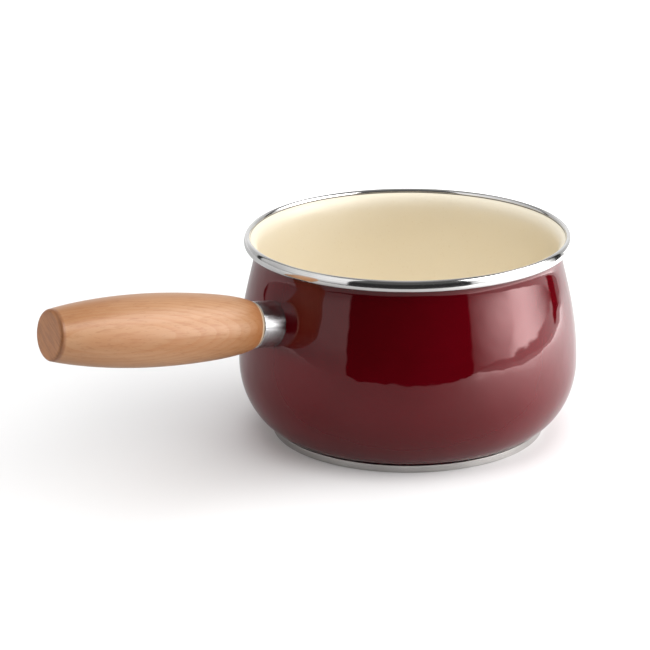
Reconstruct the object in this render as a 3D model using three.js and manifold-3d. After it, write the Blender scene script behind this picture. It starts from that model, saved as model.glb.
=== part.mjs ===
// A small bellied milk pan: a pressed steel bowl with a red coat outside and a cream coat inside, a
// stainless band crimped over its rim, a capped base, and a turned beech grip held on one captive bolt
// behind a ferrule.
// Millimetres. The origin is the centre of the underside, +Z is up and the handle points along -X.
import * as THREE from 'three';
import { mergeVertices } from 'three/addons/utils/BufferGeometryUtils.js';
import Module from 'manifold-3d';

const wasm = await Module();
wasm.setup();

// Clearances
const contactGap = 0.05; // between pieces that are pressed or bonded together
const fitGap = 0.3; // between pieces that pass over or into each other

// Bowl
const panHeight = 90.9;
const rimRadius = 73; // outside of the rim band
const neckInset = 4.55; // the neck, where the wall stands upright, is this much narrower than the rim
const neckDrop = 7.6; // and this far below the top
const bellySwell = 3.1; // the belly is this much wider than the rim
const bellyHeight = 32.9;
const floorPull = 6.5; // how far the floor runs on before it turns up
const bellyPullBelow = 19.3; // how straight the belly is below its widest ring
const bellyPullAbove = 25.1; // and above it
const neckPull = 7; // how straight the wall is below the neck
const flarePull = 2.2; // how round the flare between neck and lip is
const lipRise = 0.2; // upward slope of the flared lip
const lipInset = 1.45; // from the outside of the rim band to the lip's edge
const lipDrop = 2.8; // from the top of the band to the red side of the lip
const enamelThickness = 0.25;
const steelThickness = 0.9;

// Rim band
const rimWidth = 3.2;
const rimDepth = 5.2;
const bandCrown = 3.3; // from the band's widest ring up to its top
const bandThickness = 0.45;
const bandTopWrap = THREE.MathUtils.degToRad(136); // how far the band wraps over the lip
const bandBottomWrap = THREE.MathUtils.degToRad(165); // how far it is tucked in underneath

// Base
const baseRadius = 61.4;
const baseLedge = 4.4; // from the flat of the bowl's floor to the outside of the base cap
const capThickness = 0.5;
const capCorner = 0.7; // rounding of the base cap's lower edge
const capLip = 0.7; // how far the cap stands up past the bowl's floor
const spreaderThickness = 2.1;

// Handle axis
const handleDrop = 28.9; // from the top of the rim down to where the axis meets the bowl's wall
const handleTilt = THREE.MathUtils.degToRad(8.6);
const handleReach = 4; // pieces seated on the bowl start this far inside it before they are trimmed

// Ferrule
const ferruleRadius = 10.2;
const ferruleLength = 10;
const ferruleThickness = 0.8;
const ferruleBevel = 0.3;
const webThickness = 1; // the wall inside the ferrule that the nut clamps
const webClearance = 1.6; // between that wall and the bracket

// Bracket and fixings of an M6 bolt
const flangeMargin = 0.8; // between the bracket's flange and the ferrule's inside
const flangeThickness = 1.2;
const flangeWidth = 2.2; // from the bracket's cup to the edge of its flange
const cupHeight = 4.6;
const cupBevel = 0.6;
const bracketThickness = 1.2;
const boltRadius = 3;
const boltHeadThickness = 2;
const boltChamfer = 0.6;
const washerWidth = 2;
const washerThickness = 1.5;
const washerSplit = THREE.MathUtils.degToRad(14);
const nutAcrossFlats = 10;
const nutThickness = 5;

// Wooden grip and its insert
const gripLength = 100.4;
const gripRadius = 15.7;
const gripEndRadius = 11;
const gripRootInset = 0.5; // the wood starts this much below the ferrule's surface
const gripRootSlope = THREE.MathUtils.degToRad(37.5); // how steeply the wood swells from the ferrule
const gripEndSlope = THREE.MathUtils.degToRad(12.5); // and how steeply it narrows to its end
const gripRootPull = 7.6; // how straight its outline is at the ferrule
const gripBellyPull = 12.8; // at the thickest ring
const gripEndPull = 16.8; // and at the end
const gripEndRound = 1.6;
const nutRoom = 1.5; // past the nut and past the bolt's end
const insertWall = 1.5;
const insertLength = 16;
const insertBarb = 0.5;
const insertBarbs = 4;
const boltPastInsert = 3;

// Fineness: sides of a full turn, and steps along each stretch of an outline
const bowlSegments = 44;
const handleSegments = 28;
const boltSegments = 20;
const lowerWallSteps = 7;
const upperWallSteps = 6;
const flareSteps = 4;
const bandArcSteps = 7;
const cornerSteps = 3;
const gripSideSteps = 8;
const weldDistance = 1e-4; // corners closer than this are one corner

// Values that follow
const neckRadius = rimRadius - neckInset;
const neckHeight = panHeight - neckDrop;
const bellyRadius = rimRadius + bellySwell;
const flatRadius = baseRadius - baseLedge;
const floorHeight = capThickness + spreaderThickness + 2 * contactGap;
const steelOuter = enamelThickness + contactGap; // depths below the red surface
const steelInner = steelOuter + steelThickness;
const creamOuter = steelInner + contactGap;
const creamInner = creamOuter + enamelThickness;
const ferruleInside = ferruleRadius - ferruleThickness;
const flangeRadius = ferruleInside - flangeMargin;
const cupRadius = flangeRadius - flangeWidth;
const webBase = cupHeight + webClearance; // distances out along the handle from the bowl's wall
const webTop = webBase + webThickness;
const washerBase = webTop + contactGap;
const nutBase = washerBase + washerThickness + contactGap;
const insertBase = nutBase + nutThickness + nutRoom;
const insertTop = insertBase + insertLength;
const boltEnd = insertTop + boltPastInsert;
const boltHole = boltRadius + fitGap;
const nutCorner = nutAcrossFlats / Math.sqrt(3);
const insertRadius = boltHole + insertWall;

// Materials
function finish(color, roughness, metalness) {
  return new THREE.MeshStandardMaterial({ color, roughness, metalness });
}
const redEnamel = finish(0x6a0a16, 0.1, 0);
const creamEnamel = finish(0xead9b4, 0.2, 0);
const polishedSteel = finish(0xd8d9da, 0.15, 1);
const brushedSteel = finish(0xb9bbbd, 0.35, 1);
const pressedSteel = finish(0x83868a, 0.5, 1);
const aluminium = finish(0xc4c6c8, 0.45, 1);
const zincSteel = finish(0xa9adb3, 0.4, 1);
const brass = finish(0xb89648, 0.35, 1);
const beech = finish(0xcd9669, 0.55, 0);

// Shape tools
const point = (r, z) => new THREE.Vector2(r, z);

function weld(geometry) {
  geometry.deleteAttribute('normal');
  geometry.deleteAttribute('uv');
  const welded = mergeVertices(geometry, weldDistance);
  const corners = welded.getIndex().array;
  const kept = [];
  for (let i = 0; i < corners.length; i += 3) {
    const [a, b, c] = corners.slice(i, i + 3);
    if (a !== b && b !== c && c !== a) kept.push(a, b, c);
  }
  welded.setIndex(kept);
  return welded;
}

function revolve(profile, segments) {
  return weld(new THREE.LatheGeometry(profile, segments).rotateX(Math.PI / 2));
}

function revolveRing(profile, segments) {
  return revolve([...profile, profile[0]], segments);
}

function extrude(shape, depth) {
  return weld(new THREE.ExtrudeGeometry(shape, { depth, bevelEnabled: false, curveSegments: boltSegments }));
}

function solid(geometry) {
  const vertProperties = new Float32Array(geometry.getAttribute('position').array);
  const triVerts = new Uint32Array(geometry.getIndex().array);
  return new wasm.Manifold(new wasm.Mesh({ numProp: 3, vertProperties, triVerts }));
}

function surface(body) {
  const { vertProperties, triVerts } = body.getMesh();
  const geometry = new THREE.BufferGeometry();
  geometry.setAttribute('position', new THREE.BufferAttribute(vertProperties, 3));
  geometry.setIndex(new THREE.BufferAttribute(triVerts, 1));
  return geometry;
}

// Part of a circle, or of an oval where its rise differs from its radius
function arc(centre, radius, from, to, steps, rise = radius) {
  return Array.from({ length: steps + 1 }, (_, i) => {
    const angle = from + (to - from) * (i / steps);
    return point(centre.x + radius * Math.cos(angle), centre.y + rise * Math.sin(angle));
  });
}

// The bowl's red surface, from the flat of the floor past belly and neck to the flared lip
const lip = point(rimRadius - lipInset, panHeight - lipDrop);
const lipAim = point(1, lipRise).normalize();
const lowerWall = new THREE.CubicBezierCurve(
  point(flatRadius, floorHeight),
  point(flatRadius + floorPull, floorHeight),
  point(bellyRadius, bellyHeight - bellyPullBelow),
  point(bellyRadius, bellyHeight),
);
const upperWall = new THREE.CubicBezierCurve(
  point(bellyRadius, bellyHeight),
  point(bellyRadius, bellyHeight + bellyPullAbove),
  point(neckRadius, neckHeight - neckPull),
  point(neckRadius, neckHeight),
);
const flare = new THREE.CubicBezierCurve(
  point(neckRadius, neckHeight),
  point(neckRadius, neckHeight + flarePull),
  lip.clone().addScaledVector(lipAim, -flarePull),
  lip,
);
const wallStretches = [[lowerWall, lowerWallSteps], [upperWall, upperWallSteps], [flare, flareSteps]];

// The same surface moved inwards by a depth, or outwards where the depth is negative
function wallAtDepth(depth) {
  const path = [];
  for (const [curve, steps] of wallStretches) {
    for (let i = path.length ? 1 : 0; i <= steps; i += 1) {
      const aim = curve.getTangent(i / steps);
      path.push(curve.getPoint(i / steps).addScaledVector(point(-aim.y, aim.x), depth));
    }
  }
  return path;
}

// A closed body of the whole bowl, used to trim what is seated against its wall
function bowlBlock(depth) {
  const path = wallAtDepth(depth);
  const bottom = point(0, path[0].y);
  const top = point(0, path[path.length - 1].y);
  return solid(revolve([bottom, ...path, top], bowlSegments));
}

function bowlLayer(outerDepth, innerDepth) {
  const outside = wallAtDepth(outerDepth);
  const inside = wallAtDepth(innerDepth).reverse();
  return revolve([point(0, outside[0].y), ...outside, ...inside, point(0, inside.at(-1).y)], bowlSegments);
}

// Handle frame: its own Z runs out along the handle from the bowl's wall
function wallRadiusAt(height) {
  const halvings = 40;
  let low = 0;
  let high = 1;
  for (let i = 0; i < halvings; i += 1) {
    const middle = (low + high) / 2;
    if (upperWall.getPoint(middle).y < height) low = middle;
    else high = middle;
  }
  return upperWall.getPoint(low).x;
}

const handleHeight = panHeight - handleDrop;
const handleFrame = new THREE.Matrix4()
  .makeRotationY(handleTilt - Math.PI / 2)
  .setPosition(-wallRadiusAt(handleHeight), 0, handleHeight);

const onHandle = (geometry) => geometry.applyMatrix4(handleFrame);

// Bowl pieces
const steelBowl = () => bowlLayer(steelOuter, steelInner);

const innerEnamel = () => bowlLayer(creamOuter, creamInner);

// The red coat leaves the floor bare for the base and the wall bare for the welded bracket
function outerEnamel() {
  const coat = revolveRing([...wallAtDepth(0), ...wallAtDepth(enamelThickness).reverse()], bowlSegments);
  const holeRadius = flangeRadius + fitGap;
  const hole = new THREE.CylinderGeometry(holeRadius, holeRadius, 2 * handleReach, handleSegments);
  const drill = onHandle(weld(hole.rotateX(Math.PI / 2)));
  return surface(solid(coat).subtract(solid(drill)));
}

// Two half ovals of sheet that share the band's widest ring, a tall one above and a low one below
function rimBand() {
  const outside = rimWidth / 2;
  const inside = outside - bandThickness;
  const bandSkirt = rimDepth - bandCrown;
  const centre = point(rimRadius - outside, panHeight - bandCrown);
  return revolveRing([
    ...arc(centre, outside, -bandBottomWrap, 0, bandArcSteps, bandSkirt),
    ...arc(centre, outside, 0, bandTopWrap, bandArcSteps, bandCrown).slice(1),
    ...arc(centre, inside, bandTopWrap, 0, bandArcSteps, bandCrown - bandThickness),
    ...arc(centre, inside, 0, -bandBottomWrap, bandArcSteps, bandSkirt - bandThickness).slice(1),
  ], bowlSegments);
}

// Base pieces
function baseCap() {
  const top = floorHeight + capLip;
  const cornerCentre = point(baseRadius - capCorner, capCorner);
  return revolve([
    point(0, 0),
    ...arc(cornerCentre, capCorner, -Math.PI / 2, 0, cornerSteps),
    point(baseRadius, top),
    point(baseRadius - capThickness, top),
    ...arc(cornerCentre, capCorner - capThickness, 0, -Math.PI / 2, cornerSteps - 1),
    point(0, capThickness),
  ], bowlSegments);
}

function heatSpreader() {
  const radius = baseRadius - capCorner - contactGap;
  const base = capThickness + contactGap;
  const top = base + spreaderThickness;
  return revolve([point(0, base), point(radius, base), point(radius, top), point(0, top)], bowlSegments);
}

// Handle pieces
function ferrule() {
  const tube = revolveRing([
    point(ferruleRadius, -handleReach),
    point(ferruleRadius, ferruleLength - ferruleBevel),
    point(ferruleRadius - ferruleBevel, ferruleLength),
    point(ferruleInside, ferruleLength),
    point(ferruleInside, webTop),
    point(boltHole, webTop),
    point(boltHole, webBase),
    point(ferruleInside, webBase),
    point(ferruleInside, -handleReach),
  ], handleSegments);
  return surface(solid(onHandle(tube)).subtract(bowlBlock(-contactGap)));
}

function handleBracket() {
  const cup = revolveRing([
    point(flangeRadius, -handleReach),
    point(flangeRadius, flangeThickness),
    point(cupRadius, flangeThickness),
    point(cupRadius, cupHeight - cupBevel),
    point(cupRadius - cupBevel, cupHeight),
    point(boltHole, cupHeight),
    point(boltHole, cupHeight - bracketThickness),
    point(cupRadius - bracketThickness, cupHeight - bracketThickness),
    point(cupRadius - bracketThickness, -handleReach),
  ], handleSegments);
  return surface(solid(onHandle(cup)).subtract(bowlBlock(enamelThickness)));
}

function handleBolt() {
  const headRadius = cupRadius - bracketThickness - fitGap;
  const headTop = cupHeight - bracketThickness - contactGap;
  const headBase = headTop - boltHeadThickness;
  return onHandle(revolve([
    point(0, headBase),
    point(headRadius, headBase),
    point(headRadius, headTop),
    point(boltRadius, headTop),
    point(boltRadius, boltEnd - boltChamfer),
    point(boltRadius - boltChamfer, boltEnd),
    point(0, boltEnd),
  ], boltSegments));
}

function lockWasher() {
  const shape = new THREE.Shape();
  shape.absarc(0, 0, boltHole + washerWidth, washerSplit, 2 * Math.PI - washerSplit, false);
  shape.absarc(0, 0, boltHole, 2 * Math.PI - washerSplit, washerSplit, true);
  return onHandle(extrude(shape, washerThickness).translate(0, 0, washerBase));
}

// Six flats, with the corners turned off at both ends
function hexNut() {
  const turn = Math.PI / 3;
  const flats = new THREE.Shape(arc(point(0, 0), nutCorner, 0, 5 * turn, 5));
  flats.holes.push(new THREE.Path().absarc(0, 0, boltHole, 0, 2 * Math.PI, true));
  const apothem = nutAcrossFlats / 2;
  const corner = (nutCorner - apothem) / 2;
  const turned = revolve([
    point(0, 0),
    point(apothem, 0),
    point(nutCorner + fitGap, corner),
    point(nutCorner + fitGap, nutThickness - corner),
    point(apothem, nutThickness),
    point(0, nutThickness),
  ], boltSegments);
  const nut = surface(solid(extrude(flats, nutThickness)).intersect(solid(turned)));
  return onHandle(nut.translate(0, 0, nutBase));
}

// A bush with saw-tooth barbs that grip the wood
function threadedInsert() {
  const pitch = insertLength / insertBarbs;
  const barbs = [];
  for (let i = 0; i < insertBarbs; i += 1) {
    barbs.push(point(insertRadius, insertBase + i * pitch));
    barbs.push(point(insertRadius - insertBarb, insertBase + (i + 1) * pitch));
  }
  const bore = [point(boltHole, insertTop), point(boltHole, insertBase)];
  return onHandle(revolveRing([...barbs, ...bore], boltSegments));
}

function woodenGrip() {
  const tenonBase = webTop + fitGap;
  const shoulder = ferruleLength + contactGap;
  const gripEnd = ferruleLength + gripLength;
  const belly = point(gripRadius, (shoulder + gripEnd) / 2);
  const root = point(ferruleRadius - gripRootInset, shoulder);
  const edge = point(gripEndRadius, gripEnd - gripEndRound);
  const rootAim = point(Math.sin(gripRootSlope), Math.cos(gripRootSlope));
  const endAim = point(-Math.sin(gripEndSlope), Math.cos(gripEndSlope));
  const rootSide = new THREE.CubicBezierCurve(
    root,
    root.clone().addScaledVector(rootAim, gripRootPull),
    point(belly.x, belly.y - gripBellyPull),
    belly,
  );
  const endSide = new THREE.CubicBezierCurve(
    belly,
    point(belly.x, belly.y + gripBellyPull),
    edge.clone().addScaledVector(endAim, -gripEndPull),
    edge,
  );
  const endCentre = point(gripEndRadius - gripEndRound, edge.y);
  const endRound = arc(endCentre, gripEndRound, 0, Math.PI / 2, cornerSteps);
  const nutRadius = nutCorner + 2 * fitGap;
  const insertHole = insertRadius + contactGap;
  return onHandle(revolve([
    point(0, boltEnd + nutRoom),
    point(boltHole, boltEnd + nutRoom),
    point(boltHole, insertTop + contactGap),
    point(insertHole, insertTop + contactGap),
    point(insertHole, insertBase - contactGap),
    point(nutRadius, insertBase - contactGap),
    point(nutRadius, tenonBase),
    point(ferruleInside - fitGap, tenonBase),
    point(ferruleInside - fitGap, shoulder),
    ...rootSide.getPoints(gripSideSteps),
    ...endSide.getPoints(gripSideSteps).slice(1),
    ...endRound.slice(1),
    point(0, gripEnd),
  ], handleSegments));
}

// Assembly
const pan = new THREE.Group();
pan.name = 'milk_pan';

function addPiece(name, geometry, material) {
  geometry.computeVertexNormals();
  const mesh = new THREE.Mesh(geometry, material);
  mesh.name = name;
  pan.add(mesh);
}

addPiece('steel_bowl', steelBowl(), pressedSteel);
addPiece('outer_enamel', outerEnamel(), redEnamel);
addPiece('inner_enamel', innerEnamel(), creamEnamel);
addPiece('rim_band', rimBand(), polishedSteel);
addPiece('base_cap', baseCap(), brushedSteel);
addPiece('heat_spreader', heatSpreader(), aluminium);
addPiece('ferrule', ferrule(), brushedSteel);
addPiece('handle_bracket', handleBracket(), pressedSteel);
addPiece('handle_bolt', handleBolt(), zincSteel);
addPiece('lock_washer', lockWasher(), zincSteel);
addPiece('hex_nut', hexNut(), zincSteel);
addPiece('threaded_insert', threadedInsert(), brass);
addPiece('wooden_grip', woodenGrip(), beech);

export default pan;
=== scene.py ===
import math

import bpy
from mathutils import Matrix, Vector


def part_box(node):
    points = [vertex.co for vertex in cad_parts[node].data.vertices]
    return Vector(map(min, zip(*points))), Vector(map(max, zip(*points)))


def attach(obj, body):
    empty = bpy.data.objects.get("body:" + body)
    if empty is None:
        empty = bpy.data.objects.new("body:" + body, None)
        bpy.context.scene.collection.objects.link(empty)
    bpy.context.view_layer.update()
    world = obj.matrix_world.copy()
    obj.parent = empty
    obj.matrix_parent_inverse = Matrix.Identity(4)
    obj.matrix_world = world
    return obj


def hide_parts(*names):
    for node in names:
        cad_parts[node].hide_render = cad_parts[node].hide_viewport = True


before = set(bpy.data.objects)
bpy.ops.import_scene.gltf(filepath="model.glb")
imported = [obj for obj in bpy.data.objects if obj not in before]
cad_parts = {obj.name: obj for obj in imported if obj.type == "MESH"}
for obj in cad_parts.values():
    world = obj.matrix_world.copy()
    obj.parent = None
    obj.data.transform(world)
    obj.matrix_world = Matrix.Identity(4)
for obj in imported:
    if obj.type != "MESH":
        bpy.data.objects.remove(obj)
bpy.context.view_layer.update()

scene = bpy.context.scene
MM = 0.001
QUARTER = math.pi / 2  # a quarter of a turn

# Camera, as found from the outlines in the photograph
LENS = 100
SENSOR = 24
HANDLE_TURN = math.radians(34)  # how far the handle points out of the picture, towards the camera
CAMERA_PLACE = Vector((-0.0372, -1.1557, 0.4374))  # before that turn: right, away and up from the pan's foot
CAMERA_PITCH = math.radians(18.64)
CAMERA_ROLL = math.radians(-0.51)

# Bowl
RIM_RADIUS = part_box("rim_band")[1].x
PAN_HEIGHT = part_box("rim_band")[1].z
BELLY_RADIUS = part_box("outer_enamel")[1].x
BELLY_HEIGHT = 32.9 * MM
NECK_RADIUS = RIM_RADIUS - 4.55 * MM
NECK_HEIGHT = PAN_HEIGHT - 7.6 * MM
LIP_RADIUS = RIM_RADIUS - 1.45 * MM
LIP_HEIGHT = PAN_HEIGHT - 2.8 * MM
LIP_RISE = 0.2  # how steeply the wall still rises where it ends
FLOOR_PULL = 6.5 * MM  # how far the floor runs on before it turns up
BELLY_PULL_BELOW = 19.3 * MM  # how straight the wall is below the belly
BELLY_PULL_ABOVE = 25.1 * MM  # how straight it is above the belly
NECK_PULL = 7 * MM  # how straight it is below the neck
FLARE_PULL = 2.2 * MM  # how round the flare above the neck is
ENAMEL = 0.25 * MM
STEEL = 0.9 * MM
GAP = 0.05 * MM  # between pieces that touch
FIT = 0.3 * MM  # between pieces that pass into each other
WALL = 2 * (ENAMEL + GAP) + STEEL

# Rim band
BAND = 0.45 * MM  # thickness of the strip
BAND_HALF_WIDTH = 1.6 * MM
BAND_CROWN = 3.3 * MM  # height above its widest line
BAND_SKIRT = 1.9 * MM  # depth below that line
BAND_TOP_WRAP = math.radians(136)  # how far it turns from that line over the top
BAND_BOTTOM_WRAP = math.radians(165)  # how far it turns from that line underneath

# Base
BASE_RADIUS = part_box("base_cap")[1].x
BASE_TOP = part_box("base_cap")[1].z
FLAT_RADIUS = BASE_RADIUS - 4.4 * MM  # where the bowl's flat floor ends
FLOOR_HEIGHT = BASE_TOP - 0.7 * MM  # its outer face
CAP = 0.5 * MM  # thickness of the base cap
CAP_CORNER = 0.7 * MM
GROOVE_DEPTH = 0.18 * MM
GROOVE_WIDTH = 1.6 * MM
GROOVE_RADII = [18 * MM, 36 * MM, 52 * MM]

# Handle, measured out along its own axis from the bowl's wall
HANDLE_HEIGHT = PAN_HEIGHT - 28.9 * MM
HANDLE_TILT = math.radians(8.6)
FERRULE_RADIUS = 10.2 * MM
FERRULE_LENGTH = 10 * MM
FERRULE_WALL = 0.8 * MM
FERRULE_LIP = 0.35 * MM
WEB_BASE = 6.2 * MM  # of the wall across the ferrule's inside
WEB_TOP = 7.2 * MM
GRIP_RADIUS = 15.7 * MM
GRIP_LENGTH = 100.38 * MM
GRIP_ROOT_RADIUS = FERRULE_RADIUS - 0.5 * MM
GRIP_END_RADIUS = 11 * MM
GRIP_ROOT_SLOPE = math.radians(37.5)
GRIP_END_SLOPE = math.radians(12.5)
GRIP_ROOT_PULL = 7.6 * MM  # how far the side keeps its slope from the root
GRIP_BELLY_PULL = 12.8 * MM  # how straight it is on both sides of its middle
GRIP_END_PULL = 16.8 * MM  # how far it keeps its slope up to the end
GRIP_END_ROUND = 1.6 * MM
NUT_HOLE = 6.37 * MM
INSERT_BASE = 15.3 * MM
INSERT_TOP = INSERT_BASE + 16 * MM
INSERT_RADIUS = 4.8 * MM
BOLT_RADIUS = 3 * MM
BOLT_HEAD_RADIUS = 4.9 * MM
BOLT_HEAD_BASE = 1.35 * MM
BOLT_HEAD_TOP = 3.35 * MM
BOLT_THREAD_START = WEB_TOP + 0.5 * MM
BOLT_END = INSERT_TOP + 3 * MM
THREAD_PITCH = 1 * MM
THREAD_DEPTH = 0.55 * MM
THREAD_END_SHARE = 0.4  # of that depth, at the bolt's end
BORE_END = BOLT_END + 1.5 * MM

# Studio
MATT_SHARE = 0.32  # of the studio's light, as far as it falls on surfaces that do not mirror it

# Fineness
BOWL_TURNS = 192
HANDLE_TURNS = 96
BOLT_TURNS = 32
LOWER_WALL_STEPS = 32
UPPER_WALL_STEPS = 28
FLARE_STEPS = 12
BAND_CROWN_STEPS = 28
BAND_SKIRT_STEPS = 20
EDGE_STEPS = 6
CORNER_STEPS = 8
GROOVE_STEPS = 8
GRIP_STEPS = 36  # for each half of its length
GRIP_END_STEPS = 10
THREAD_STEPS = 8  # for each turn of the thread
SEAT_REACH = 6 * MM  # the ferrule's seat is looked for this far out and in
SEAT_HALVINGS = 40
ON_AXIS = 1e-7  # a point nearer than this to an axis lies on it
SHARP_ANGLE = math.radians(40)


# Outlines: lists of (radius, height) points

def bezier(start, start_pull, end_pull, end, steps):
    points = []
    for i in range(steps + 1):
        t = i / steps
        u = 1 - t
        points.append(u**3 * start + 3 * u * u * t * start_pull + 3 * u * t * t * end_pull + t**3 * end)
    return points


def oval_point(centre, radius, rise, angle):
    return centre + Vector((radius * math.cos(angle), rise * math.sin(angle)))


def arc(centre, radius, first, last, steps, rise=None):
    """Part of a circle, or of an upright oval when its height differs from its radius."""
    turn = last - first
    return [oval_point(centre, radius, rise or radius, first + turn * i / steps) for i in range(steps + 1)]


def offset(path, depth):
    """The path moved to its left by a depth: inwards for a wall that is followed upwards."""
    moved = []
    for i, here in enumerate(path):
        ahead = path[min(i + 1, len(path) - 1)]
        behind = path[max(i - 1, 0)]
        aim = (ahead - behind).normalized()
        moved.append(here + depth * Vector((-aim.y, aim.x)))
    return moved


NECK = Vector((NECK_RADIUS, NECK_HEIGHT))
LIP = Vector((LIP_RADIUS, LIP_HEIGHT))
LIP_AIM = Vector((1, LIP_RISE)).normalized()
BELLY = Vector((BELLY_RADIUS, BELLY_HEIGHT))
FLAT = Vector((FLAT_RADIUS, FLOOR_HEIGHT))
FLOOR_AIM = Vector((FLOOR_PULL, 0))
UP = Vector((0, 1))

LOWER_WALL = bezier(FLAT, FLAT + FLOOR_AIM, BELLY - BELLY_PULL_BELOW * UP, BELLY, LOWER_WALL_STEPS)
UPPER_WALL = bezier(BELLY, BELLY + BELLY_PULL_ABOVE * UP, NECK - NECK_PULL * UP, NECK, UPPER_WALL_STEPS)
FLARE = bezier(NECK, NECK + FLARE_PULL * UP, LIP - FLARE_PULL * LIP_AIM, LIP, FLARE_STEPS)
WALL_PATH = LOWER_WALL + UPPER_WALL[1:] + FLARE[1:]


def wall_radius(height):
    """The red wall's radius at a height, or 0 below and above the wall."""
    for low, high in zip(WALL_PATH, WALL_PATH[1:]):
        if low.y <= height < high.y:
            share = (height - low.y) / (high.y - low.y)
            return low.x + share * (high.x - low.x)
    return 0.0


BOWL_FRAME = Matrix.Identity(4)
HANDLE_FRAME = (
    Matrix.Translation((-wall_radius(HANDLE_HEIGHT), 0, HANDLE_HEIGHT))
    @ Matrix.Rotation(HANDLE_TILT - QUARTER, 4, "Y")
)


# Mesh tools

def turn_angles(turns):
    return [2 * math.pi * i / turns for i in range(turns)]


def level_ring(radius, height, turns):
    return [(radius * math.cos(a), radius * math.sin(a), height) for a in turn_angles(turns)]


def make_piece(name, vertices, faces, place=BOWL_FRAME):
    mesh = bpy.data.meshes.new(name)
    mesh.from_pydata(vertices, [], faces)
    mesh.transform(place)
    mesh.validate()
    mesh.shade_smooth()
    mesh.set_sharp_from_angle(angle=SHARP_ANGLE)
    piece = bpy.data.objects.new(name, mesh)
    scene.collection.objects.link(piece)
    return piece


def grid_piece(name, rings, closed, place=BOWL_FRAME):
    """A skin over rings of equal length. One point alone is a pole. A closed skin joins last to first."""
    vertices = []
    starts = []
    for ring in rings:
        starts.append(len(vertices))
        vertices.extend(ring)
    faces = []
    pairs = list(zip(range(len(rings)), range(1, len(rings))))
    if closed:
        pairs.append((len(rings) - 1, 0))
    turns = max(len(ring) for ring in rings)
    for low, high in pairs:
        for i in range(turns):
            j = (i + 1) % turns
            corners = []
            corners += [starts[low] + i, starts[low] + j] if len(rings[low]) > 1 else [starts[low]]
            corners += [starts[high] + j, starts[high] + i] if len(rings[high]) > 1 else [starts[high]]
            faces.append(corners)
    return make_piece(name, vertices, faces, place)


def turned_piece(name, outline, turns, closed, place=BOWL_FRAME):
    """An outline turned about Z. It starts and ends on the axis, or closes on itself."""
    rings = []
    for radius, height in outline:
        if radius < ON_AXIS:
            rings.append([(0, 0, height)])
        else:
            rings.append(level_ring(radius, height, turns))
    return grid_piece(name, rings, closed, place)


# Pieces of the bowl

def enamel_shell():
    outline = WALL_PATH + offset(WALL_PATH, ENAMEL)[::-1]
    return turned_piece("enamel_shell", outline, BOWL_TURNS, closed=True)


def bowl_layer(name, outer_depth, inner_depth):
    """One layer of the bowl with its floor, between two depths behind the outer face."""
    outside = offset(WALL_PATH, outer_depth)
    inside = offset(WALL_PATH, inner_depth)
    outline = [Vector((0, outside[0].y))] + outside + inside[::-1] + [Vector((0, inside[0].y))]
    return turned_piece(name, outline, BOWL_TURNS, closed=False)


def pressed_bowl():
    return bowl_layer("pressed_bowl", ENAMEL + GAP, ENAMEL + GAP + STEEL)


def cream_lining():
    return bowl_layer("cream_lining", WALL - ENAMEL, WALL)


def rim_ring():
    """A steel strip rolled over the lip: in section two half ovals, open towards the wall."""
    centre = Vector((RIM_RADIUS - BAND_HALF_WIDTH, PAN_HEIGHT - BAND_CROWN))
    edge = BAND / 2
    edge_centre = oval_point(centre, BAND_HALF_WIDTH - edge, BAND_CROWN - edge, BAND_TOP_WRAP)
    inside = BAND_HALF_WIDTH - BAND
    outline = (
        arc(centre, BAND_HALF_WIDTH, -BAND_BOTTOM_WRAP, 0, BAND_SKIRT_STEPS, BAND_SKIRT)
        + arc(centre, BAND_HALF_WIDTH, 0, BAND_TOP_WRAP, BAND_CROWN_STEPS, BAND_CROWN)[1:]
        + arc(edge_centre, edge, BAND_TOP_WRAP, BAND_TOP_WRAP + math.pi, EDGE_STEPS)[1:-1]
        + arc(centre, inside, BAND_TOP_WRAP, 0, BAND_CROWN_STEPS // 2, BAND_CROWN - BAND)
        + arc(centre, inside, 0, -BAND_BOTTOM_WRAP, BAND_SKIRT_STEPS // 2, BAND_SKIRT - BAND)[1:]
    )
    return turned_piece("rim_ring", outline, BOWL_TURNS, closed=True)


def pressed_groove(radius):
    """The outline across one ring in the underside: it rises and falls again in a smooth wave."""
    points = []
    for i in range(GROOVE_STEPS + 1):
        swing = math.pi * i / GROOVE_STEPS
        across = radius - math.cos(swing) * GROOVE_WIDTH / 2
        points.append(Vector((across, GROOVE_DEPTH * math.sin(swing) ** 2)))
    return points


def base_disc():
    """A shallow steel cup with pressed rings on its underside."""
    corner = Vector((BASE_RADIUS - CAP_CORNER, CAP_CORNER))
    bevel = CAP / 4
    outline = [Vector((0, 0))]
    for radius in GROOVE_RADII:
        outline += pressed_groove(radius)
    outline += arc(corner, CAP_CORNER, -QUARTER, 0, CORNER_STEPS)
    outline += [Vector((BASE_RADIUS, BASE_TOP - bevel))]
    outline += [Vector((BASE_RADIUS - bevel, BASE_TOP)), Vector((BASE_RADIUS - CAP, BASE_TOP))]
    outline += arc(corner, CAP_CORNER - CAP, 0, -QUARTER, CORNER_STEPS // 2)
    outline += [Vector((0, CAP))]
    return turned_piece("base_disc", outline, BOWL_TURNS, closed=False)


# Pieces of the handle

def wall_meets(radius, angle):
    """How far out along the handle the bowl's surface lies, on a line beside the handle's axis."""
    beside = Vector((radius * math.cos(angle), radius * math.sin(angle), 0))
    low = -SEAT_REACH
    high = SEAT_REACH
    for _ in range(SEAT_HALVINGS):
        middle = (low + high) / 2
        spot = HANDLE_FRAME @ (beside + Vector((0, 0, middle)))
        if math.hypot(spot.x, spot.y) > wall_radius(spot.z):
            high = middle
        else:
            low = middle
    return high + GAP


def seat_ring(radius):
    """A ring round the handle's axis that follows the bowl's surface."""
    angles = turn_angles(HANDLE_TURNS)
    return [(radius * math.cos(a), radius * math.sin(a), wall_meets(radius, a)) for a in angles]


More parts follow.
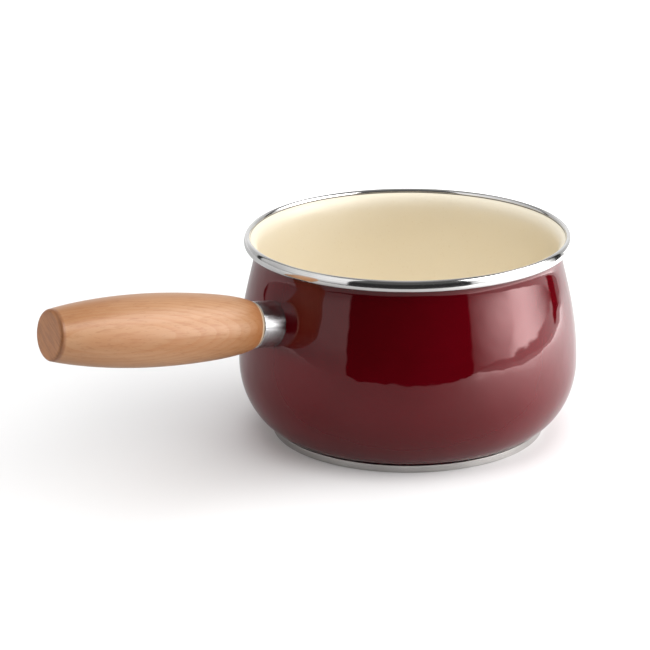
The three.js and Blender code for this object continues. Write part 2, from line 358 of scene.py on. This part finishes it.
def ferrule_sleeve():
    """A short tube with a rounded lip, cut to the bowl, with a wall across its inside for the bolt."""
    inside = FERRULE_RADIUS - FERRULE_WALL
    bolt_hole = BOLT_RADIUS + FIT
    lip_centre = Vector((FERRULE_RADIUS - FERRULE_LIP, FERRULE_LENGTH - FERRULE_LIP))
    outline = arc(lip_centre, FERRULE_LIP, 0, QUARTER, EDGE_STEPS) + [
        Vector((inside, FERRULE_LENGTH)),
        Vector((inside, WEB_TOP)),
        Vector((bolt_hole, WEB_TOP)),
        Vector((bolt_hole, WEB_BASE)),
        Vector((inside, WEB_BASE)),
    ]
    rings = [seat_ring(FERRULE_RADIUS)]
    rings += [level_ring(radius, height, HANDLE_TURNS) for radius, height in outline]
    rings += [seat_ring(inside)]
    return grid_piece("ferrule_sleeve", rings, closed=True, place=HANDLE_FRAME)


def beech_grip():
    """A barrel of wood with a flat end, bored from the ferrule's side for nut, insert and bolt."""
    shoulder = FERRULE_LENGTH + GAP
    end = FERRULE_LENGTH + GRIP_LENGTH
    belly = Vector((GRIP_RADIUS, (shoulder + end) / 2))
    root = Vector((GRIP_ROOT_RADIUS, shoulder))
    edge = Vector((GRIP_END_RADIUS, end - GRIP_END_ROUND))
    edge_centre = edge - Vector((GRIP_END_ROUND, 0))
    root_aim = Vector((math.sin(GRIP_ROOT_SLOPE), math.cos(GRIP_ROOT_SLOPE)))
    end_aim = Vector((-math.sin(GRIP_END_SLOPE), math.cos(GRIP_END_SLOPE)))
    root_pull = root + GRIP_ROOT_PULL * root_aim
    end_pull = edge - GRIP_END_PULL * end_aim
    tenon = FERRULE_RADIUS - FERRULE_WALL - FIT
    insert_hole = INSERT_RADIUS + GAP
    bolt_hole = BOLT_RADIUS + FIT
    outline = [
        Vector((0, BORE_END)),
        Vector((bolt_hole, BORE_END)),
        Vector((bolt_hole, INSERT_TOP + GAP)),
        Vector((insert_hole, INSERT_TOP + GAP)),
        Vector((insert_hole, INSERT_BASE - GAP)),
        Vector((NUT_HOLE, INSERT_BASE - GAP)),
        Vector((NUT_HOLE, WEB_TOP + FIT)),
        Vector((tenon, WEB_TOP + FIT)),
        Vector((tenon, shoulder)),
    ]
    outline += bezier(root, root_pull, belly - GRIP_BELLY_PULL * UP, belly, GRIP_STEPS)
    outline += bezier(belly, belly + GRIP_BELLY_PULL * UP, end_pull, edge, GRIP_STEPS)[1:]
    outline += arc(edge_centre, GRIP_END_ROUND, 0, QUARTER, GRIP_END_STEPS)[1:]
    outline += [Vector((GRIP_END_RADIUS / 2, end)), Vector((0, end))]
    return turned_piece("beech_grip", outline, HANDLE_TURNS, closed=False, place=HANDLE_FRAME)


def thread_ring(height, share):
    """One ring of the bolt's thread, cut to a share of its full depth."""
    ring = []
    for a in turn_angles(BOLT_TURNS):
        phase = (height / THREAD_PITCH - a / (2 * math.pi)) % 1
        depth = THREAD_DEPTH * share * (1 - abs(2 * phase - 1))
        radius = BOLT_RADIUS - depth
        ring.append((radius * math.cos(a), radius * math.sin(a), height))
    return ring


def threaded_bolt():
    """A flat-headed bolt whose thread runs as one helix from the nut to its end."""
    rings = [
        [(0, 0, BOLT_HEAD_BASE)],
        level_ring(BOLT_HEAD_RADIUS, BOLT_HEAD_BASE, BOLT_TURNS),
        level_ring(BOLT_HEAD_RADIUS, BOLT_HEAD_TOP, BOLT_TURNS),
        level_ring(BOLT_RADIUS, BOLT_HEAD_TOP, BOLT_TURNS),
        level_ring(BOLT_RADIUS, BOLT_THREAD_START, BOLT_TURNS),
    ]
    steps = round((BOLT_END - BOLT_THREAD_START) / THREAD_PITCH * THREAD_STEPS)
    for i in range(1, steps + 1):
        height = BOLT_THREAD_START + i * THREAD_PITCH / THREAD_STEPS
        share = min(1, i / THREAD_STEPS, (steps - i) / THREAD_STEPS + THREAD_END_SHARE)
        rings.append(thread_ring(height, share))
    rings.append([(0, 0, BOLT_END)])
    return grid_piece("threaded_bolt", rings, closed=False, place=HANDLE_FRAME)


# Colours

def paint(red, green, blue):
    """A colour given as it looks on a screen, 0 to 255."""
    def linear(value):
        share = value / 255
        return share / 12.92 if share <= 0.04045 else ((share + 0.055) / 1.055) ** 2.4
    return (linear(red), linear(green), linear(blue), 1)


def grey(share):
    """A neutral colour that returns this share of the light."""
    return (share, share, share, 1)


DEEP_RED = paint(68, 0, 5)
CLEAR_RED = paint(76, 0, 8)
THIN_RED = paint(46, 8, 8)
RED_SHEEN = (1, 0.65, 0.65, 1)
PALE_CREAM = paint(247, 238, 218)
WARM_CREAM = paint(244, 234, 212)
CREAM_SPECK = paint(222, 202, 166)
# painted shade for the thin line under the rim band's inner edge
CREAM_LIP_SHADE = paint(118, 112, 104)
WARM_WOOD = paint(165, 117, 78)
PALE_WOOD = paint(177, 134, 98)
LATE_WOOD = paint(160, 102, 59)
STREAK_WOOD = paint(149, 94, 54)
PORE_WOOD = paint(132, 82, 48)
ROOT_WOOD = paint(187, 112, 57)
# a painted highlight on the grip's root next to the ferrule
ROOT_HIGHLIGHT_WOOD = paint(232, 214, 186)
DARK_END_WOOD = paint(124, 80, 49)
PALE_END_WOOD = paint(143, 95, 58)
# painted shade on the rounded edge of the grip's end
END_EDGE_SHADE_WOOD = paint(112, 62, 32)
RIM_METAL = paint(232, 231, 230)
BASE_METAL = paint(232, 229, 226)
FERRULE_METAL = paint(208, 208, 209)
DARK_STEEL = paint(112, 114, 118)
PALE_STEEL = paint(150, 152, 156)
DARK_ZINC = paint(152, 158, 168)
PALE_ZINC = paint(196, 200, 206)
DARK_ALUMINIUM = paint(170, 172, 176)
PALE_ALUMINIUM = paint(206, 208, 210)
DARK_BRASS = paint(168, 132, 62)
PALE_BRASS = paint(206, 172, 96)


# Material tools

def node(tree, kind, inputs=(), **settings):
    made = tree.nodes.new("ShaderNode" + kind)
    for name, value in settings.items():
        setattr(made, name, value)
    for key, value in dict(inputs).items():
        if isinstance(value, bpy.types.NodeSocket):
            tree.links.new(value, made.inputs[key])
        else:
            made.inputs[key].default_value = value
    return made


def calc(tree, operation, *values):
    return node(tree, "Math", enumerate(values), operation=operation).outputs[0]


def total(tree, first, *others):
    for other in others:
        first = calc(tree, "ADD", first, other)
    return first


def product(tree, first, *others):
    for other in others:
        first = calc(tree, "MULTIPLY", first, other)
    return first


def noise(tree, where, scale, detail=2.0):
    return node(tree, "TexNoise", {"Vector": where, "Scale": scale, "Detail": detail}).outputs[0]


def between(tree, value, low, high, to_low=0.0, to_high=1.0):
    """A smooth change from one level to another, while the value goes from low to high."""
    inputs = {0: value, 1: low, 2: high, 3: to_low, 4: to_high}
    return node(tree, "MapRange", inputs, interpolation_type="SMOOTHSTEP").outputs[0]


def spread(tree, cloud, to_low=0.0, to_high=1.0):
    """The middle range of a noise, in which most of it lies, spread from one level to another."""
    return between(tree, cloud, 0.3, 0.7, to_low, to_high)


def mix_colours(tree, share, first, second):
    return node(tree, "Mix", {0: share, 6: first, 7: second}, data_type="RGBA").outputs[2]


def mix_values(tree, share, first, second):
    return node(tree, "Mix", {0: share, 2: first, 3: second}, data_type="FLOAT").outputs[0]


def bump(tree, height, depth):
    return node(tree, "Bump", {"Distance": depth, "Height": height}).outputs[0]


def parts_of(tree, where):
    return node(tree, "SeparateXYZ", {0: where}).outputs


def vector_calc(tree, operation, first, second):
    return node(tree, "VectorMath", {0: first, 1: second}, operation=operation).outputs


def stretched(tree, where, scale):
    return vector_calc(tree, "MULTIPLY", where, scale)["Vector"]


def turned_about_z(tree, where, angle):
    return node(tree, "VectorRotate", {0: where, "Angle": angle}, rotation_type="Z_AXIS").outputs[0]


def object_place(tree):
    return node(tree, "TexCoord").outputs["Object"]


def framed_place(tree, axes):
    """Places measured in a frame of their own, such as the handle's, with Z along its axis."""
    inputs = {
        "Vector": object_place(tree),
        "Location": axes.translation,
        "Rotation": axes.to_euler(),
    }
    return node(tree, "Mapping", inputs, vector_type="TEXTURE").outputs[0]


def photo_square(tree, where):
    """Places or directions turned so that X runs right in the photograph and Y away from its viewer."""
    return turned_about_z(tree, where, HANDLE_TURN)


def round_axis(tree, where):
    """Angle about Z, distance from Z and height, as one vector: lines at a fixed angle run along its X."""
    x, y, height = parts_of(tree, where)
    angle = calc(tree, "ARCTAN2", y, x)
    squares = total(tree, calc(tree, "POWER", x, 2.0), calc(tree, "POWER", y, 2.0))
    distance = calc(tree, "SQRT", squares)
    return node(tree, "CombineXYZ", {0: angle, 1: distance, 2: height}).outputs[0]


def socket_name(key):
    return key.replace("_", " ").title().replace("Ior", "IOR")


def new_material(name, **shader_inputs):
    material = bpy.data.materials.new(name)
    material.use_nodes = True
    shader = material.node_tree.nodes["Principled BSDF"]
    for key, value in shader_inputs.items():
        shader.inputs[socket_name(key)].default_value = value
    return material, material.node_tree, shader


def wire(tree, shader, **sockets):
    for key, socket in sockets.items():
        tree.links.new(socket, shader.inputs[socket_name(key)])


# Materials

def red_enamel():
    """Deep red glass over steel: slightly wavy, with the coat thin and brown where it ends."""
    material, tree, shader = new_material("red_enamel", ior=1.58, specular_tint=RED_SHEEN)
    where = object_place(tree)
    height = parts_of(tree, where)[2]
    cloud = noise(tree, where, scale=22, detail=3)
    red = mix_colours(tree, spread(tree, cloud), DEEP_RED, CLEAR_RED)
    foot = between(tree, height, BASE_TOP + 0.2 * MM, BASE_TOP + 1.6 * MM, 1, 0)
    top = between(tree, height, NECK_HEIGHT - 1 * MM, NECK_HEIGHT + 2 * MM)
    thin = calc(tree, "MAXIMUM", foot, top)
    red = mix_colours(tree, product(tree, thin, 0.7), red, THIN_RED)
    shine = spread(tree, noise(tree, where, scale=60, detail=4), 0.02, 0.05)
    waves = noise(tree, where, scale=90, detail=1)
    peel = product(tree, noise(tree, where, scale=420), 0.03)
    skin = bump(tree, total(tree, waves, peel), depth=0.16 * MM)
    wire(tree, shader, base_color=red, roughness=shine, normal=skin)
    return material


def cream_enamel():
    """Cream glass with fine tan specks, softer in shine than the red, with a grey line of painted shade at
    its lip, where the rim band's edge meets it.
    """
    material, tree, shader = new_material("cream_enamel", ior=1.52)
    where = object_place(tree)
    height = parts_of(tree, where)[2]
    cloud = noise(tree, where, scale=18, detail=3)
    cream = mix_colours(tree, spread(tree, cloud), PALE_CREAM, WARM_CREAM)
    speck = between(tree, noise(tree, where, scale=900, detail=1), 0.66, 0.74, 0, 0.15)
    cream = mix_colours(tree, speck, cream, CREAM_SPECK)
    # painted shade: a thin grey line just below the rim band's inner edge, where the band meets the cream
    lip = between(tree, height, LIP_HEIGHT + 1.0 * MM, LIP_HEIGHT + 1.2 * MM)
    cream = mix_colours(tree, lip, cream, CREAM_LIP_SHADE)
    shine = spread(tree, noise(tree, where, scale=45, detail=3), 0.32, 0.45)
    skin = bump(tree, noise(tree, where, scale=300), depth=0.02 * MM)
    wire(tree, shader, base_color=cream, roughness=shine, normal=skin)
    return material


def turned_steel(name, axes, colour, smooth, rough, line_depth):
    """Stainless steel with fine lines round its axis, which smear a reflection along the axis."""
    material, tree, shader = new_material(name, metallic=1.0, anisotropic=0.8, anisotropic_rotation=0.25)
    where = framed_place(tree, axes)
    axis = axes.to_3x3() @ Vector((0, 0, 1))
    apart = vector_calc(tree, "SUBTRACT", object_place(tree), axes.translation)["Vector"]
    around = vector_calc(tree, "CROSS_PRODUCT", axis, apart)["Vector"]
    line_counts = (1.5, 6000, 6000)  # in a radian round the axis, and in a metre out from it and along it
    lines = noise(tree, stretched(tree, round_axis(tree, where), line_counts), scale=1, detail=1)
    smear = noise(tree, where, scale=70, detail=3)
    shade = total(tree, product(tree, lines, 0.5), product(tree, smear, 0.5))
    darker = tuple(0.85 * part for part in colour[:3]) + (1,)
    steel = mix_colours(tree, spread(tree, shade), darker, colour)
    shine = spread(tree, shade, rough, smooth)
    skin = bump(tree, lines, line_depth)
    wire(tree, shader, base_color=steel, roughness=shine, normal=skin, tangent=around)
    return material


def along_grain(tree, where, share):
    """Places squeezed along the grip, so that a noise runs long in that direction."""
    return stretched(tree, where, (1, 1, share))


def late_wood(tree, where):
    """The darker end of each growth layer. The layers lie nearly flat along the grip, with some drift."""
    layer_aim = (0.06, -0.993, 0.094)
    layer_width = 1.3 * MM
    drift_width = 2 * MM
    drift = product(tree, noise(tree, along_grain(tree, where, 0.3), scale=60), drift_width)
    across = vector_calc(tree, "DOT_PRODUCT", where, layer_aim)["Value"]
    layer = calc(tree, "FRACT", calc(tree, "DIVIDE", total(tree, across, drift), layer_width))
    return product(tree, between(tree, layer, 0.3, 0.9), between(tree, layer, 0.92, 1.0, 1, 0))


def side_wood(tree, where):
    """Colour, shine and relief of the grip's side: growth layers, short dark streaks and pores."""
    tone = noise(tree, along_grain(tree, where, 0.12), scale=110, detail=3)
    streak = noise(tree, along_grain(tree, where, 0.12), scale=800)
    pore = between(tree, noise(tree, along_grain(tree, where, 0.18), scale=1600, detail=1), 0.6, 0.7)
    wood = mix_colours(tree, spread(tree, tone), WARM_WOOD, PALE_WOOD)
    wood = mix_colours(tree, product(tree, late_wood(tree, where), 0.34), wood, LATE_WOOD)
    wood = mix_colours(tree, between(tree, streak, 0.5, 0.72, 0, 0.36), wood, STREAK_WOOD)
    wood = mix_colours(tree, product(tree, pore, 0.2), wood, PORE_WOOD)
    shine = spread(tree, tone, 0.3, 0.4)
    relief = calc(tree, "SUBTRACT", product(tree, streak, 0.4), pore)
    return wood, shine, relief


def end_wood(tree, where):
    """Colour of the grip's flat end, with fine lines on a slant."""
    slant = turned_about_z(tree, where, math.radians(-62))
    lines = noise(tree, stretched(tree, slant, (0.12, 1, 1)), scale=1100, detail=3)
    return mix_colours(tree, between(tree, lines, 0.35, 0.65), DARK_END_WOOD, PALE_END_WOOD)


def beech():
    """Flat-sawn beech, redder at the ferrule, with a pale band there that is a painted highlight, and with
    painted shade as a dark band round the rounded edge of its end.
    """
    material, tree, shader = new_material("beech", ior=1.55)
    where = framed_place(tree, HANDLE_FRAME)
    along = parts_of(tree, where)[2]
    tip = FERRULE_LENGTH + GRIP_LENGTH
    wood, shine, relief = side_wood(tree, where)
    redder = between(tree, along, FERRULE_LENGTH, FERRULE_LENGTH + 12 * MM, 0.4, 0)
    wood = mix_colours(tree, redder, wood, ROOT_WOOD)
    # painted highlight: a pale band at the grip's root, next to the ferrule
    cut = between(tree, along, FERRULE_LENGTH + 1.2 * MM, FERRULE_LENGTH + 1.6 * MM, 0.8, 0)
    wood = mix_colours(tree, cut, wood, ROOT_HIGHLIGHT_WOOD)
    end = between(tree, along, tip - 1.0 * MM, tip - 0.3 * MM)
    wood = mix_colours(tree, end, wood, end_wood(tree, where))
    # painted shade: a dark band over the rounding between the grip's side and its flat end
    edge_shade_start = between(tree, along, tip - 2.6 * MM, tip - 1.4 * MM)
    edge_shade_stop = between(tree, along, tip - 0.6 * MM, tip - 0.2 * MM, 1, 0)
    wood = mix_colours(tree, product(tree, edge_shade_start, edge_shade_stop, 0.55), wood, END_EDGE_SHADE_WOOD)
    skin = bump(tree, relief, depth=0.015 * MM)
    wire(tree, shader, base_color=wood, roughness=shine, normal=skin)
    return material


def plain_metal(name, dark, light, roughness, grain):
    """Unpolished metal of the hidden fittings, clouded by rolling, plating or casting."""
    material, tree, shader = new_material(name, metallic=1.0)
    vary = 0.08
    cloud = noise(tree, object_place(tree), scale=grain, detail=4)
    metal = mix_colours(tree, between(tree, cloud, 0.35, 0.65), dark, light)
    shine = spread(tree, cloud, roughness - vary, roughness + vary)
    skin = bump(tree, cloud, depth=0.01 * MM)
    wire(tree, shader, base_color=metal, roughness=shine, normal=skin)
    return material


# Studio: light by direction, in degrees from the viewer's side towards the right and up from the horizon

def soft_box(tree, azimuth, elevation, left, right, low, high):
    """A mask over directions: 1 inside the box, with soft edges, softest at its top."""
    soft = 1
    soft_top = 3
    sides = product(
        tree,
        between(tree, azimuth, left - soft, left + soft),
        between(tree, azimuth, right - soft, right + soft, 1, 0),
    )
    ends = product(
        tree,
        between(tree, elevation, low - soft, low + soft),
        between(tree, elevation, high - soft_top, high + soft_top, 1, 0),
    )
    return product(tree, sides, ends)


def key_panel(tree, azimuth, elevation):
    """The bright panel on the right: a hot spot low down, a dim strip under it and an even upper half."""
    outline = soft_box(tree, azimuth, elevation, left=42, right=119, low=-12, high=50)
    strip_low = -5.5
    strip_high = -4.5
    rise = between(tree, azimuth, 35, 88)
    fall = between(tree, azimuth, 84, 120, 1, 0)
    near_corner = between(tree, elevation, -5, 6, 0.55, 1)
    corner = calc(tree, "MAXIMUM", near_corner, between(tree, azimuth, 58, 80))
    glow = between(tree, elevation, 9, 20, 8.0, 2.8)
    hot = product(tree, rise, fall, corner, glow, between(tree, elevation, strip_low, strip_high))
    strip = between(tree, elevation, strip_low, strip_high, 1.2, 0)
    under = product(tree, strip, between(tree, azimuth, 44, 72, 0.3, 1))
    upper = between(tree, elevation, 20, 28, 0.3, 3.6)
    return product(tree, outline, total(tree, hot, under, upper))


def fill_panel(tree, azimuth, elevation):
    """The dim panel on the left, brighter towards the viewer and upwards."""
    outline = soft_box(tree, azimuth, elevation, left=-122, right=-43, low=-10, high=60)
    sideways = between(tree, azimuth, -110, -55, 0.6, 0.95)
    upwards = between(tree, elevation, -5, 5, 0.65, 1)
    return product(tree, outline, sideways, upwards)


def rear_wall(tree, azimuth, elevation):
    """The white wall behind the pan, brightest at its middle and dim high up."""
    turned_away = calc(tree, "ABSOLUTE", azimuth)
    edge = between(tree, turned_away, 127, 129)
    sideways = between(tree, turned_away, 130, 165, 0.5, 0.9)
    upwards = between(tree, elevation, 22, 40, 1, 0.3)
    return product(tree, edge, sideways, upwards)


def ceiling(tree, elevation):
    """A faint light from all sides, a little brighter overhead and darker near the horizon."""
    overhead = between(tree, elevation, 60, 78, 0.11, 0.35)
    horizon = between(tree, elevation, 12, 30, 0.25, 1)
    return product(tree, overhead, horizon)


def light_studio():
    world = bpy.data.worlds.new("studio")
    scene.world = world
    world.use_nodes = True
    tree = world.node_tree
    right, away, up = parts_of(tree, photo_square(tree, node(tree, "TexCoord").outputs["Generated"]))
    side = calc(tree, "ARCTAN2", right, product(tree, away, -1.0))
    azimuth = calc(tree, "DEGREES", side)
    elevation = calc(tree, "DEGREES", calc(tree, "ARCSINE", up))
    light = total(
        tree,
        key_panel(tree, azimuth, elevation),
        fill_panel(tree, azimuth, elevation),
        rear_wall(tree, azimuth, elevation),
        ceiling(tree, elevation),
    )
    rays = node(tree, "LightPath").outputs
    light = product(tree, light, mix_values(tree, rays["Is Glossy Ray"], MATT_SHARE, 1.0))
    shader = tree.nodes["Background"]
    shader.inputs["Color"].default_value = grey(1)
    tree.links.new(mix_values(tree, rays["Is Camera Ray"], light, 1.0), shader.inputs["Strength"])


def soft_lamp(name, azimuth, elevation, distance, width, height, power):
    """A wide lamp that gives soft shadows and is not mirrored by the pan."""
    data = bpy.data.lights.new(name, "AREA")
    data.shape = "RECTANGLE"
    data.size = width
    data.size_y = height
    data.energy = power
    lamp = bpy.data.objects.new(name, data)
    scene.collection.objects.link(lamp)
    lamp.matrix_world = (
        Matrix.Rotation(math.radians(azimuth) - HANDLE_TURN, 4, "Z")
        @ Matrix.Rotation(math.radians(90 - elevation), 4, "X")
        @ Matrix.Translation((0, 0, distance))
    )
    lamp.visible_glossy = False
    lamp.visible_camera = False


def table_outline():
    """Corners of the table top, right and away from the pan's foot, with a notch at the right rear."""
    left = -0.65
    right = 0.42
    far_right = 1.6
    front = -0.355
    rear = 1.8
    front_edge = [(left, -0.13), (-0.13, front), (right, front)]
    notch = [(right, 0.1), (0.45, 0.26), (0.41, 0.32), (far_right, 1.29)]
    return front_edge + notch + [(far_right, rear), (left, rear)]


def floor_white():
    """A pale table that looks white far off and keeps the pan's shadow. In reflections its right side and its
    rear glow with painted light from the key panel and the wall.
    """
    material, tree, shader = new_material("floor_white", roughness=0.6, emission_color=grey(1))
    rays = node(tree, "LightPath").outputs
    mirrored = rays["Is Glossy Ray"]
    seen = rays["Is Camera Ray"]
    colour = mix_colours(tree, mirrored, grey(0.68), grey(0.5))
    colour = mix_colours(tree, seen, colour, grey(0.91))
    place = parts_of(tree, photo_square(tree, object_place(tree)))
    right = place[0]
    away = place[1]
    # painted light: in reflections the floor glows brighter near the key panel and towards the rear wall
    key_light_pool = product(
        tree,
        between(tree, right, -0.02, 0.3, 0, 1.15),
        between(tree, away, -0.3, -0.1, 0.4, 1),
        between(tree, away, 0.05, 0.3, 1, 0.5),
    )
    wall_light_pool = between(tree, away, 0.3, 0.9, 0, 0.6)
    far_floor = between(tree, away, 0.12, 0.6)
    right_floor = between(tree, right, 0.05, 0.14, 0, 0.15)
    mirrored_glow = product(tree, total(tree, key_light_pool, wall_light_pool), mirrored)
    seen_glow = product(tree, total(tree, far_floor, right_floor), seen)
    wire(tree, shader, base_color=colour, emission_strength=total(tree, mirrored_glow, seen_glow))
    return material


def white_floor():
    corners = [(right, away, 0) for right, away in table_outline()]
    face = tuple(range(len(corners)))
    floor = make_piece("floor", corners, [face], Matrix.Rotation(-HANDLE_TURN, 4, "Z"))
    floor.data.materials.append(floor_white())


def place_camera():
    data = bpy.data.cameras.new("camera")
    data.lens = LENS
    data.sensor_width = SENSOR
    data.sensor_fit = "HORIZONTAL"
    camera = bpy.data.objects.new("camera", data)
    scene.collection.objects.link(camera)
    camera.matrix_world = (
        Matrix.Rotation(-HANDLE_TURN, 4, "Z")
        @ Matrix.Translation(CAMERA_PLACE)
        @ Matrix.Rotation(QUARTER - CAMERA_PITCH, 4, "X")
        @ Matrix.Rotation(CAMERA_ROLL, 4, "Z")
    )
    scene.camera = camera


# Assembly

def dress(piece, material, node_name):
    piece.data.materials.append(material)
    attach(piece, "root")
    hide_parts(node_name)


def finish_node(name, material):
    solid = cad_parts[name]
    solid.data.materials.clear()
    solid.data.materials.append(material)


place_camera()
light_studio()
soft_lamp("overhead", azimuth=55, elevation=77, distance=1.2, width=3.4, height=2.4, power=37)
soft_lamp("low_right", azimuth=82, elevation=7.2, distance=0.35, width=0.6, height=0.088, power=2.5)
soft_lamp("low_left", azimuth=-84, elevation=5.5, distance=0.85, width=0.6, height=0.11, power=4.2)
white_floor()

rim_steel = turned_steel(
    "polished_steel", BOWL_FRAME, RIM_METAL, smooth=0.08, rough=0.14, line_depth=0.0005 * MM
)
base_steel = turned_steel(
    "base_steel", BOWL_FRAME, BASE_METAL, smooth=0.18, rough=0.26, line_depth=0.001 * MM
)
ferrule_steel = turned_steel(
    "ferrule_steel", HANDLE_FRAME, FERRULE_METAL, smooth=0.2, rough=0.28, line_depth=0.001 * MM
)
pressed_steel = plain_metal("pressed_steel", DARK_STEEL, PALE_STEEL, roughness=0.45, grain=90)
zinc = plain_metal("zinc_steel", DARK_ZINC, PALE_ZINC, roughness=0.38, grain=700)
aluminium = plain_metal("aluminium", DARK_ALUMINIUM, PALE_ALUMINIUM, roughness=0.42, grain=160)
brass = plain_metal("brass", DARK_BRASS, PALE_BRASS, roughness=0.34, grain=260)

dress(enamel_shell(), red_enamel(), "outer_enamel")
dress(pressed_bowl(), pressed_steel, "steel_bowl")
dress(cream_lining(), cream_enamel(), "inner_enamel")
dress(rim_ring(), rim_steel, "rim_band")
dress(base_disc(), base_steel, "base_cap")
dress(ferrule_sleeve(), ferrule_steel, "ferrule")
dress(beech_grip(), beech(), "wooden_grip")
dress(threaded_bolt(), zinc, "handle_bolt")
finish_node("handle_bracket", pressed_steel)
finish_node("heat_spreader", aluminium)
finish_node("lock_washer", zinc)
finish_node("hex_nut", zinc)
finish_node("threaded_insert", brass)

scene.view_settings.view_transform = "Standard"
